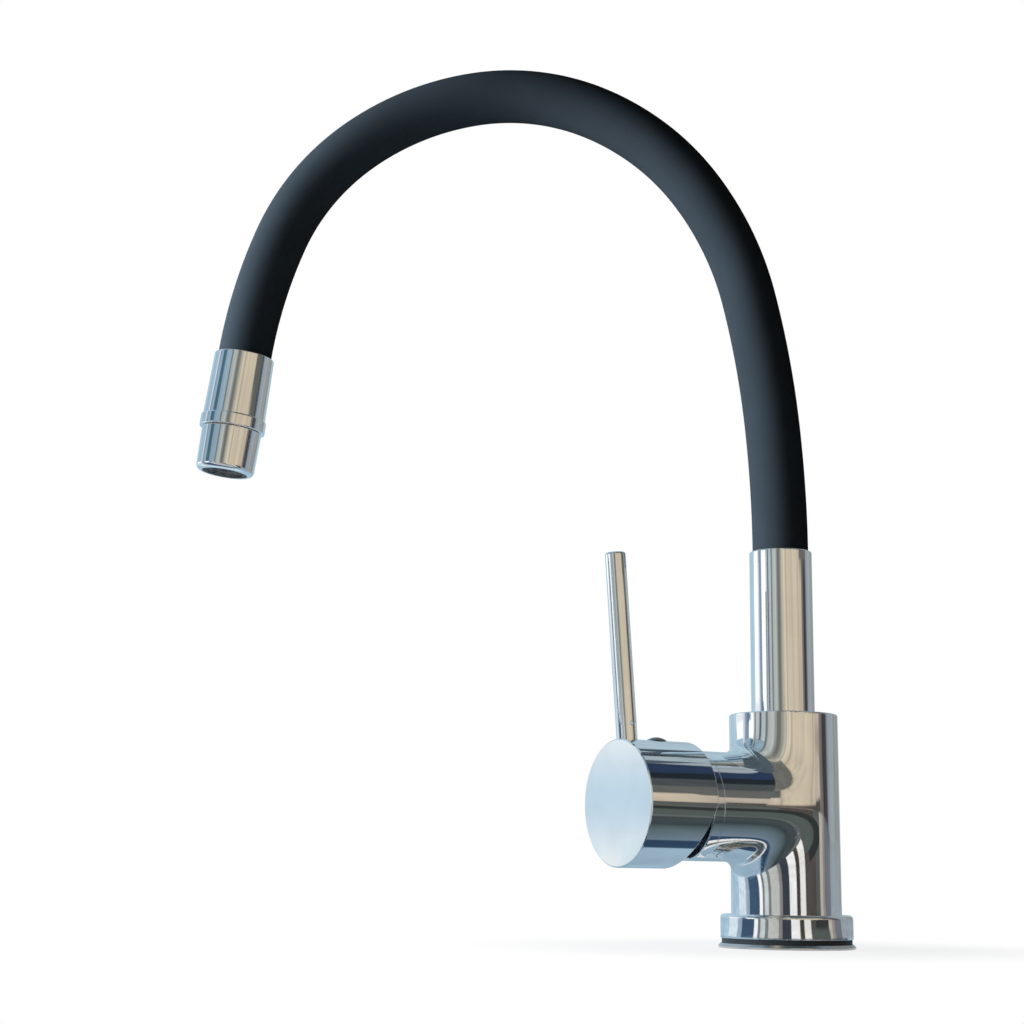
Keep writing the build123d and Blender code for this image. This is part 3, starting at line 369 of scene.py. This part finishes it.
# Upright cards, each with its bearings, heights and colour, from the rear left
# round past the camera to the rear right
wall_cards = (
    ("rear_left_blue", (-180, -122), (0, card_top), (0.46, 0.63, 0.74)),
    ("rear_left_pane", (-122, -98), (0.26, 0.50), (1.10, 1.16, 1.18)),
    ("rear_left_blue_top", (-122, -98), (0.50, card_top), (0.38, 0.55, 0.68)),
    ("left_lilac", (-98, -92.5), (0, card_top), (0.70, 0.75, 0.84)),
    ("left_grey", (-92.5, -86), (0, card_top), (0.28, 0.35, 0.44)),
    ("left_navy", (-86, -76), (0, 0.26), (0.045, 0.095, 0.17)),
    ("left_slate", (-86, -80.5), (0.26, 0.50), (0.24, 0.31, 0.40)),
    ("left_blue_top", (-86, -76), (0.50, card_top), (0.32, 0.47, 0.59)),
    ("left_dark_top", (-76, -62), (0.50, card_top), (0.08, 0.145, 0.21)),
    ("left_pane_low", (-76, -62), (0.05, 0.26), (1.10, 1.14, 1.14)),
    ("left_pane", (-80.5, -62), (0.26, 0.50), (1.10, 1.14, 1.14)),
    ("front_left_blue_top", (-62, -41), (0.48, card_top), (0.28, 0.40, 0.48)),
    ("front_left_grey", (-62, -54.5), (0.05, 0.48), (0.50, 0.56, 0.59)),
    ("front_left_dark_line", (-54.5, -50.5), (0.05, 0.48), (0.09, 0.11, 0.14)),
    ("front_left_pale", (-50.5, -41), (0.05, 0.48), (0.51, 0.58, 0.60)),
    ("front_left_mid", (-41, -36), (0.05, card_top), (0.16, 0.18, 0.18)),
    ("front_left_light", (-36, -22), (0.05, card_top), (0.48, 0.52, 0.49)),
    ("front_fade", (-22, -17), (0.05, card_top), (0.33, 0.34, 0.32)),
    ("front_line", (-17, -8), (0.05, card_top), (0.19, 0.195, 0.175)),
    ("front_warm_line", (-8, -3), (0.05, card_top), (0.34, 0.33, 0.28)),
    ("front_warm", (-3, 3), (0.05, card_top), (0.52, 0.49, 0.40)),
    ("front_beige_left", (3, 12), (apron_height, 0.9), (0.68, 0.60, 0.46)),
    ("front_beige_line", (12, 15), (apron_height, 0.9), (0.46, 0.39, 0.28)),
    ("front_beige", (15, 50), (apron_height, 0.9), (0.66, 0.57, 0.43)),
    ("front_beige_right", (50, 60.5), (0.16, 0.9), (0.62, 0.53, 0.40)),
    ("front_beige_end", (60.5, 66), (0.16, 0.50), (0.60, 0.51, 0.39)),
    ("front_beige_shade", (60.5, 66), (0.50, 0.9), (0.125, 0.13, 0.12)),
    ("front_brown_low", (50, 66), (apron_height, 0.16), (0.10, 0.085, 0.075)),
    ("front_olive_top", (3, 66), (0.9, card_top), (0.16, 0.16, 0.14)),
    ("right_dark_low", (66, 75), (apron_height, 0.21), (0.085, 0.078, 0.075)),
    ("right_tan", (66, 75), (0.21, 0.45), (0.56, 0.49, 0.40)),
    ("right_brown_grey", (75, 83), (apron_height, 0.45), (0.19, 0.165, 0.15)),
    ("right_dark_line", (83, 96), (apron_height, 0.45), (0.060, 0.055, 0.058)),
    ("right_grey_top", (66, 96), (0.45, 0.85), (0.125, 0.13, 0.12)),
    ("right_dark_mid", (66, 96), (0.85, 1.25), (0.070, 0.080, 0.085)),
    ("right_dark_top", (66, 96), (1.25, 1.65), (0.020, 0.028, 0.035)),
    ("right_navy_top", (66, 100), (1.65, card_top), (0.027, 0.045, 0.095)),
    ("right_slate", (96, 100), (apron_height, 1.65), (0.18, 0.23, 0.28)),
    ("right_blue_grey", (100, 124), (apron_height, card_top), (0.35, 0.40, 0.43)),
    ("rear_right_grey", (124, 156), (0, 1.7), (0.31, 0.33, 0.32)),
    ("rear_right_dark_top", (124, 156), (1.7, card_top), (0.065, 0.10, 0.135)),
    ("rear_right_blue", (156, 180), (0, card_top), (0.42, 0.55, 0.63)),
)


def wall_colour(bearing, height, otherwise):
    """The colour of the upright card at a place, or another where there is none."""
    for _, bearings, heights, colour in wall_cards:
        if bearings[0] < bearing < bearings[1] and heights[0] < height < heights[1]:
            return colour
    return otherwise


for name, bearings, heights, colour in wall_cards:
    middle_bearing, middle_height = sum(bearings) / 2, sum(heights) / 2
    sides = [
        wall_colour(bearing, middle_height, colour)
        for bearing in (bearings[0] - next_turn, bearings[1] + next_turn)
    ]
    ends = [
        wall_colour(middle_bearing, height, colour)
        for height in (heights[0] - next_rise, heights[1] + next_rise)
    ]
    profile = ((card_reach, heights[0]), (card_reach, heights[1]))
    add_card(f"card_{name}", bearings, profile,
             soft_card(f"card_{name}", bearings, heights, colour, sides, ends))

# Aprons on the floor, which the foot of the faucet mirrors. Between them the
# white floor shows, as bright lines.
for name, bearings, colour in (
    ("rear_left", (-180, -119), (0.40, 0.57, 0.70)),
    ("left_pale", (-119, -95), (0.68, 0.80, 0.86)),
    ("left_grey", (-95, -85), (0.33, 0.42, 0.53)),
    ("left_navy", (-85, -60), (0.055, 0.10, 0.17)),
    ("front_left_line", (-53, -48.5), (0.18, 0.20, 0.24)),
    ("front_left", (-48.5, -40), (0.60, 0.66, 0.64)),
    ("front_left_dark_line", (-40, -34.5), (0.20, 0.22, 0.22)),
    ("front_left_light", (-34.5, -17), (0.52, 0.53, 0.50)),
    ("front_line", (-17, -11), (0.27, 0.25, 0.25)),
    ("front_slate", (-11, 3.5), (0.045, 0.055, 0.070)),
    ("front_white", (3.5, 18), (0.92, 0.91, 0.90)),
    ("front_dark_line", (18, 25.5), (0.060, 0.055, 0.050)),
    ("front_pale", (25.5, 37), (0.86, 0.83, 0.78)),
    ("front_brown", (37, 61), (0.090, 0.075, 0.070)),
    ("right_dark", (61, 71), (0.11, 0.12, 0.115)),
    ("right_light", (71, 78), (0.50, 0.46, 0.41)),
    ("right_tan", (78, 84), (0.32, 0.28, 0.25)),
    ("right", (84, 101), (0.17, 0.185, 0.21)),
    ("right_blue", (101, 180), (0.33, 0.38, 0.42)),
):
    profile = (
        (apron_start, just_above_floor),
        (card_reach, just_above_floor),
        (card_reach, apron_height),
    )
    heights = (0, apron_height)
    sides = (colour, colour)
    ends = (colour, wall_colour(sum(bearings) / 2, apron_height + next_rise, colour))
    add_card(f"apron_{name}", bearings, profile,
             soft_card(f"apron_{name}", bearings, heights, colour, sides, ends))

# Two patches on the floor at the right, which only the underside of the dial
# and the neck mirrors
for name, bearings, reaches, colour in (
    ("near", (38, 72), (apron_start, 0.38), (0.089, 0.106, 0.099)),
    ("far", (46, 70), (0.38, 0.80), (0.033, 0.037, 0.036)),
):
    profile = [(reach, 2 * just_above_floor) for reach in reaches]
    add_card(f"patch_{name}", bearings, profile, card_material(f"patch_{name}", even(colour)))

# The table that the faucet was set up on, with straight edges along the dial's
# axis: pale behind, navy along its edge, and darker towards the front. The neck
# turns that axis from the spout's plane towards the camera. Each band has its
# share of the table's reach, and its colour.
neck_turn = math.radians(32.8)
table_start = 0.034
table_reach = 0.2
table_bands = (
    (0.0, (0.33, 0.47, 0.58)),
    (0.105, (0.32, 0.45, 0.56)),
    (0.115, (0.030, 0.060, 0.110)),
    (0.190, (0.026, 0.055, 0.100)),
    (0.200, (0.150, 0.205, 0.275)),
    (0.25, (0.130, 0.180, 0.220)),
    (0.33, (0.105, 0.145, 0.165)),
    (0.40, (0.075, 0.105, 0.115)),
    (0.46, (0.042, 0.058, 0.063)),
    (0.62, (0.058, 0.072, 0.076)),
    (0.72, (0.050, 0.060, 0.063)),
    (0.80, (0.130, 0.150, 0.150)),
    (0.90, (0.110, 0.125, 0.120)),
    (1.0, (0.095, 0.110, 0.105)),
)


def table_colours(tree, place):
    """Bands across the table, by how far in front of the dial's axis they lie."""
    square_to_axis = (math.sin(neck_turn), -math.cos(neck_turn), 0)
    in_front = vector_step(tree, "DOT_PRODUCT", place, square_to_axis)
    ramp = add_ramp(tree, table_bands)
    tree.links.new(range_step(tree, in_front, (0, table_reach)), ramp.inputs["Fac"])
    return ramp.outputs["Color"]


add_card("table", (-180, 180), ((table_start, just_above_floor), (apron_start, just_above_floor)),
         card_material("table", table_colours))

# Ceiling, dark over the front and pale blue over the back
ceiling_start = 0.01
for name, bearings, colour in (
    ("front", (-70, 110), (0.080, 0.110, 0.130)),
    ("rear_right", (110, 150), (0.39, 0.47, 0.51)),
    ("rear", (150, 290), (0.46, 0.62, 0.71)),
):
    profile = ((ceiling_start, card_top), (card_reach, card_top))
    add_card(f"ceiling_{name}", bearings, profile, card_material(f"ceiling_{name}", even(colour)))

# The card that fills the dial's face: white, pale blue and white again upwards
dial_card_bands = ((0, (1.0, 1.0, 1.0)), (0.5, (0.35, 0.59, 0.77)), (1, (0.98, 1.0, 1.0)))
dial_card_span = (0.045, 0.215)
dial_card_top = 0.26


def dial_colours(tree, place):
    """Three colours that run into one another up the card."""
    split = tree.nodes.new("ShaderNodeSeparateXYZ")
    tree.links.new(place, split.inputs["Vector"])
    ramp = add_ramp(tree, dial_card_bands, "B_SPLINE")
    tree.links.new(range_step(tree, split.outputs["Z"], dial_card_span), ramp.inputs["Fac"])
    return ramp.outputs["Color"]


add_card("card_dial", (-124, -98), ((card_reach, 0), (card_reach, dial_card_top)),
         card_material("card_dial", dial_colours, streak=0.012))

# Surface marks
# Every polished or moulded surface has faint marks from wiping and handling:
# one group makes them, and each finish sets how large and how strong they are.

# A smudge starts at the first of these values of its noise, and is full at the other
smudge_span = (0.42, 0.72)
marks = bpy.data.node_groups.new("surface_marks", "ShaderNodeTree")
for name, in_out, socket_type in (
    ("Vector", "INPUT", "NodeSocketVector"),
    ("Smudge Scale", "INPUT", "NodeSocketFloat"),
    ("Grain Scale", "INPUT", "NodeSocketFloat"),
    ("Smudge", "OUTPUT", "NodeSocketFloat"),
    ("Grain", "OUTPUT", "NodeSocketFloat"),
):
    marks.interface.new_socket(name, in_out=in_out, socket_type=socket_type)
inside = marks.nodes.new("NodeGroupInput")
outside = marks.nodes.new("NodeGroupOutput")
smudge = marks.nodes.new("ShaderNodeTexNoise")
smudge.inputs["Detail"].default_value = 4
smudge.inputs["Distortion"].default_value = 0.6
grain = marks.nodes.new("ShaderNodeTexNoise")
grain.inputs["Detail"].default_value = 3
for noise, scale in ((smudge, "Smudge Scale"), (grain, "Grain Scale")):
    marks.links.new(inside.outputs["Vector"], noise.inputs["Vector"])
    marks.links.new(inside.outputs[scale], noise.inputs["Scale"])
smudge_share = range_step(marks, smudge.outputs["Fac"], smudge_span)
marks.links.new(smudge_share, outside.inputs["Smudge"])
marks.links.new(grain.outputs["Fac"], outside.inputs["Grain"])


def marked_material(
    name, clean, smudged, roughness, grain_height, smudge_scale=35, grain_scale=900, **settings
):
    """A finish whose colour, roughness and fine relief vary with the surface marks."""
    material, tree, shader = new_material(name, **settings)
    place = tree.nodes.new("ShaderNodeTexCoord").outputs["Object"]
    group = tree.nodes.new("ShaderNodeGroup")
    group.node_tree = marks
    group.inputs["Smudge Scale"].default_value = smudge_scale
    group.inputs["Grain Scale"].default_value = grain_scale
    tree.links.new(place, group.inputs["Vector"])
    smudges = group.outputs["Smudge"]
    tint = mix_step(tree, "RGBA", smudges, (*clean, 1), (*smudged, 1))
    relief = tree.nodes.new("ShaderNodeBump")
    relief.name = "relief"
    relief.inputs["Distance"].default_value = grain_height
    tree.links.new(group.outputs["Grain"], relief.inputs["Height"])
    tree.links.new(tint, shader.inputs["Base Color"])
    tree.links.new(range_step(tree, smudges, (0, 1), roughness), shader.inputs["Roughness"])
    tree.links.new(relief.outputs["Normal"], shader.inputs["Normal"])
    return material


# Deck plate, gasket and base ring
# A thin stainless washer, a rubber gasket and a chromed skirt lie on the deck,
# and the stud that holds the body down clamps all three.
steel = marked_material(
    "stainless_steel", clean=(0.60, 0.60, 0.59), smudged=(0.50, 0.50, 0.49),
    roughness=(0.22, 0.34), grain_height=0.00001, smudge_scale=60, Metallic=1.0)
seal_rubber = marked_material(
    "seal_rubber", clean=(0.018, 0.018, 0.019), smudged=(0.035, 0.035, 0.036),
    roughness=(0.55, 0.75), grain_height=0.00004, grain_scale=2500)
chrome = marked_material(
    "polished_chrome", clean=(0.90, 0.91, 0.92), smudged=(0.84, 0.85, 0.86),
    roughness=(0.025, 0.06), grain_height=0.000002, smudge_scale=45, grain_scale=120,
    Metallic=1.0)

# Polishing leaves a small round on every edge of the chromed pieces
chrome_edge_round = 0.0005
tree = chrome.node_tree
rounded = tree.nodes.new("ShaderNodeBevel")
rounded.name = "edge_round"
rounded.inputs["Radius"].default_value = chrome_edge_round
tree.links.new(rounded.outputs["Normal"], tree.nodes["relief"].inputs["Normal"])


def finish_nodes(material, *names):
    """Gives CAD pieces their finish."""
    for name in names:
        nodes[name].data.materials.clear()
        nodes[name].data.materials.append(material)


finish_nodes(steel, "deck_plate")
finish_nodes(seal_rubber, "deck_gasket")
finish_nodes(chrome, "base_ring")

# Tee body
# One brass casting, ground and polished before it is plated, so that the neck
# runs into the barrel with a soft round and no seam. The polishing wheel has
# rounded the join more broadly at its sides, which the shading normal follows.
neck_direction = Vector((-math.cos(neck_turn), -math.sin(neck_turn), 0))
neck_centre = Vector((0, 0, 0.06))
neck_less_barrel = -0.0005
join_softness = 0.0032
join_fade = 0.008
# The join's normal takes over where it nearly agrees with the mesh's own, so
# that flat ends and rims keep theirs
agreement_span = (0.75, 0.92)


def neck_measures(tree, place):
    """How far out along the neck's axis a place lies, and the vector to it from that axis."""
    from_centre = vector_step(tree, "SUBTRACT", place, neck_centre)
    reach = vector_step(tree, "DOT_PRODUCT", from_centre, neck_direction)
    along = tree.nodes.new("ShaderNodeVectorMath")
    along.operation = "SCALE"
    along.inputs["Vector"].default_value = neck_direction
    tree.links.new(reach, along.inputs["Scale"])
    return reach, vector_step(tree, "SUBTRACT", from_centre, along.outputs["Vector"])


body_chrome = chrome.copy()
body_chrome.name = "polished_chrome_body"
tree = body_chrome.node_tree
place = tree.nodes.new("ShaderNodeTexCoord").outputs["Object"]
mesh_normal = tree.nodes.new("ShaderNodeNewGeometry").outputs["Normal"]
reach, off_neck = neck_measures(tree, place)
off_barrel = vector_step(tree, "MULTIPLY", place, (1, 1, 0))
# The neck's normal counts for most where its surface lies nearer than the
# barrel's, and for nothing behind the barrel's axis
neck_distance = vector_step(tree, "LENGTH", off_neck)
barrel_distance = vector_step(tree, "LENGTH", off_barrel)
difference = number_step(tree, "SUBTRACT", neck_distance, barrel_distance)
difference = number_step(tree, "SUBTRACT", difference, neck_less_barrel)
growth = number_step(tree, "EXPONENT", number_step(tree, "DIVIDE", difference, join_softness))
neck_share = number_step(tree, "DIVIDE", 1, number_step(tree, "ADD", growth, 1))
neck_side = range_step(tree, reach, (-join_fade, join_fade), smooth=True)
neck_share = number_step(tree, "MULTIPLY", neck_share, neck_side)
neck_normal = vector_step(tree, "NORMALIZE", off_neck)
barrel_normal = vector_step(tree, "NORMALIZE", off_barrel)
joined_normal = vector_step(
    tree, "NORMALIZE", mix_step(tree, "VECTOR", neck_share, barrel_normal, neck_normal))
agreement = vector_step(tree, "DOT_PRODUCT", joined_normal, mesh_normal)
agreement = range_step(tree, agreement, agreement_span, smooth=True)
shaded_normal = mix_step(tree, "VECTOR", agreement, mesh_normal, joined_normal)
tree.links.new(shaded_normal, tree.nodes["edge_round"].inputs["Normal"])
finish_nodes(body_chrome, "faucet_body")

# Cartridge
# Two lapped ceramic discs in a plastic housing: the stem's ball slides and
# turns the outer disc. Three rubber rings seal the ports on the seat, a brass
# nut clamps the housing, and the chromed trim ring hides the nut.
acetal = marked_material(
    "acetal", clean=(0.09, 0.15, 0.30), smudged=(0.12, 0.19, 0.36),
    roughness=(0.38, 0.5), grain_height=0.00002, grain_scale=1800)
ceramic = marked_material(
    "ceramic_disc", clean=(0.80, 0.80, 0.78), smudged=(0.74, 0.74, 0.72),
    roughness=(0.25, 0.35), grain_height=0.00001, grain_scale=3000)
brass = marked_material(
    "brass", clean=(0.72, 0.53, 0.26), smudged=(0.58, 0.42, 0.20),
    roughness=(0.2, 0.38), grain_height=0.00001, Metallic=1.0)
finish_nodes(acetal, "cartridge_base", "cartridge_housing", "stem_carrier", "disc_driver")
finish_nodes(ceramic, "fixed_ceramic_disc", "moving_ceramic_disc")
finish_nodes(seal_rubber, "port_seals")
finish_nodes(steel, "pivot_pin")
finish_nodes(brass, "cartridge_stem", "cartridge_nut")
finish_nodes(chrome, "trim_ring")

# Dial and lever
# The dial is a heavy chromed cup on the cartridge's stem. A socket screw under
# a plastic cap holds it, and the rod screws into its top.
dark_plastic = marked_material(
    "dark_plastic", clean=(0.22, 0.23, 0.24), smudged=(0.25, 0.26, 0.27),
    roughness=(0.14, 0.22), grain_height=0.00002, grain_scale=2000)
finish_nodes(chrome, "lever_rod")

# The dial's inside stays duller than its plated outside
dial_inside_radius = 0.02405
dial_inside_end = 0.086
dull_metal = (0.62, 0.64, 0.68, 1)
dull_roughness = 0.25
dial_chrome = chrome.copy()
dial_chrome.name = "polished_chrome_dial"
tree = dial_chrome.node_tree
shader = tree.nodes["Principled BSDF"]
reach, off_neck = neck_measures(tree, tree.nodes.new("ShaderNodeTexCoord").outputs["Object"])
near_axis = number_step(
    tree, "LESS_THAN", vector_step(tree, "LENGTH", off_neck), dial_inside_radius)
behind_face = number_step(tree, "LESS_THAN", reach, dial_inside_end)
inside_share = number_step(tree, "MULTIPLY", near_axis, behind_face)
for socket, kind, dull in (
    ("Base Color", "RGBA", dull_metal),
    ("Roughness", "FLOAT", dull_roughness),
):
    plated = shader.inputs[socket].links[0].from_socket
    tree.links.new(mix_step(tree, kind, inside_share, plated, dull), shader.inputs[socket])
finish_nodes(dial_chrome, "dial")
finish_nodes(steel, "dial_screw")
finish_nodes(dark_plastic, "screw_cap")

# Riser and swivel
# The chromed riser turns on a plastic washer. A split ring holds its spigot in
# the body, under two rubber rings.
white_plastic = marked_material(
    "white_plastic", clean=(0.70, 0.71, 0.70), smudged=(0.62, 0.63, 0.62),
    roughness=(0.4, 0.55), grain_height=0.00002, grain_scale=1500)
finish_nodes(chrome, "riser_tube")
finish_nodes(white_plastic, "glide_ring")
finish_nodes(seal_rubber, "swivel_o_rings")
finish_nodes(acetal, "swivel_clip")

# Spout fittings
# At both ends the gooseneck sits in a brass bush, and the hose is crimped on a
# barbed brass tail that a rubber ring seals.
for end in ("riser", "outlet"):
    finish_nodes(brass, f"{end}_gooseneck_bush", f"{end}_hose_tail")
    finish_nodes(steel, f"{end}_hose_crimp")
    finish_nodes(seal_rubber, f"{end}_tail_o_ring")

# Bendable spout
# A steel gooseneck is wound from round wire, a hose runs inside it, and a
# smooth silicone sleeve is drawn over it. The hose and the sleeve are made in
# stretches that meet in the middle of the links, so that each stretch spans one joint.
riser_top = 0.1752
flex_length = 0.4885
# How far each link of the gooseneck turns over at rest, from the riser on
link_turns = [math.radians(turn) for turn in (5.5, 7.5, 22.5, 29.25, 33.5, 28.0, 32.0, 14.5)]
link_count = len(link_turns)
link_length = flex_length / link_count
bend_axis = Vector((0, -1, 0))


def along_link(place, heading, turn, part_of_link):
    """Where a link's arc has got to after a part of it: place, heading and arc centre."""
    radius = link_length / turn
    centre = place + radius * Vector((-math.cos(heading), 0, -math.sin(heading)))
    moved = Matrix.Rotation(turn * part_of_link, 3, bend_axis) @ (place - centre)
    return centre + moved, heading + turn * part_of_link, centre


link_starts = [(Vector((0, 0, riser_top)), 0.0)]
for turn in link_turns:
    place, heading, _ = along_link(*link_starts[-1], turn, 1)
    link_starts.append((place, heading))
link_middles = [
    along_link(place, heading, turn, 0.5)[:2]
    for (place, heading), turn in zip(link_starts, link_turns)
]


def heading_vector(heading):
    """The way the spout runs, for a heading measured from straight up."""
    return Vector((-math.sin(heading), 0, math.cos(heading)))


def add_ring(build, place, heading, radius, segments):
    """A circle square to the spout, as the edges that a stretch is drawn from."""
    turn = Matrix.Rotation(heading, 4, bend_axis)
    ring = bmesh.ops.create_circle(
        build, cap_ends=False, radius=radius, segments=segments,
        matrix=Matrix.Translation(place) @ turn)
    edges = dict.fromkeys(edge for vert in ring["verts"] for edge in vert.link_edges)
    return [*ring["verts"], *edges]


def run_round(build, ends, link, steps):
    """Carries the open ends of both tube walls on round half of a link's arc."""
    (start, heading), turn = link_starts[link], link_turns[link]
    centre = along_link(start, heading, turn, 0)[2]
    spun = bmesh.ops.spin(
        build, geom=ends, cent=centre, axis=bend_axis, angle=turn / 2, steps=steps,
        use_merge=False)
    return spun["geom_last"]


def run_straight(build, ends, step):
    """Carries the open ends of both tube walls straight on."""
    edges = [item for item in ends if isinstance(item, bmesh.types.BMEdge)]
    grown = bmesh.ops.extrude_edge_only(build, edges=edges)["geom"]
    ends = [item for item in grown if not isinstance(item, bmesh.types.BMFace)]
    verts = [item for item in ends if isinstance(item, bmesh.types.BMVert)]
    bmesh.ops.translate(build, verts=verts, vec=step)
    return ends


def close_end(build, items):
    """Joins the inner wall to the outer one with a flat ring, and keeps its rims crisp."""
    edges = [item for item in items if isinstance(item, bmesh.types.BMEdge)]
    bmesh.ops.bridge_loops(build, edges=edges)
    for edge in edges:
        edge.smooth = False


def spout_stretch(number, inner, outer, segments, steps, tuck):
    """One stretch of a tube: number 0 starts in the riser, the last ends in the outlet."""
    build = bmesh.new()
    if number == 0:
        place, heading = link_starts[0]
        place = place - tuck * heading_vector(heading)
    else:
        place, heading = link_middles[number - 1]
    first_ends = add_ring(build, place, heading, outer, segments)
    first_ends += add_ring(build, place, heading, inner, segments)
    if number == 0:
        ends = run_straight(build, first_ends, tuck * heading_vector(heading))
    else:
        ends = run_round(build, first_ends, number - 1, steps)
    if number == link_count:
        outlet_heading = link_starts[number][1]
        ends = run_straight(build, ends, tuck * heading_vector(outlet_heading))
    else:
        ends = run_round(build, ends, number, steps)
    for face in build.faces:
        face.smooth = True
    close_end(build, first_ends)
    close_end(build, ends)
    bmesh.ops.recalc_face_normals(build, faces=build.faces)
    return build


def add_stretches(name, node, slot, material, **tube):
    """All the stretches of one tube: the first rides on the riser, the last on the outlet, and
    those between stay where they are built.
    """
    for number in range(link_count + 1):
        piece = add_mesh(f"{name}_{number + 1}", spout_stretch(number, **tube), material)
        if number == 0:
            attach(piece, "riser")
        elif number == link_count:
            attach(piece, "outlet")
        else:
            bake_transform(piece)
        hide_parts(node)


silicone = marked_material(
    "black_silicone", clean=(0.041, 0.046, 0.050), smudged=(0.046, 0.052, 0.057),
    roughness=(0.5, 0.6), grain_height=0.00003, smudge_scale=25, grain_scale=1600,
    Specular_IOR_Level=0.0)
hose_rubber = marked_material(
    "hose_rubber", clean=(0.50, 0.51, 0.51), smudged=(0.44, 0.45, 0.45),
    roughness=(0.5, 0.6), grain_height=0.00002, grain_scale=1500)
finish_nodes(steel, *[f"gooseneck_link_{number}" for number in range(1, link_count + 1)])
add_stretches("silicone_sleeve_stretch", "silicone_sleeve", "black_silicone", silicone,
              inner=0.0101, outer=0.01255, segments=96, steps=15, tuck=0.008)
add_stretches("water_hose_stretch", "water_hose", "hose_rubber", hose_rubber,
              inner=0.0045, outer=0.0069, segments=32, steps=10, tuck=0.02915)

# Outlet
# The chromed socket screws onto a brass adaptor, whose far thread takes the
# nozzle with its seal, flow disc, pierced insert and steel mesh.
# The mesh's steel is painted far darker than bare steel: painted shade for the dim mouth of the
# nozzle
shade_darkened_mesh_steel = marked_material(
    "shade_darkened_mesh_steel", clean=(0.12, 0.13, 0.14), smudged=(0.09, 0.10, 0.11),
    roughness=(0.35, 0.5), grain_height=0.00001, Metallic=1.0)
finish_nodes(chrome, "outlet_socket", "aerator_housing")
finish_nodes(brass, "outlet_adaptor")
finish_nodes(seal_rubber, "aerator_seal")
finish_nodes(white_plastic, "aerator_insert", "flow_regulator")
finish_nodes(shade_darkened_mesh_steel, "aerator_mesh")
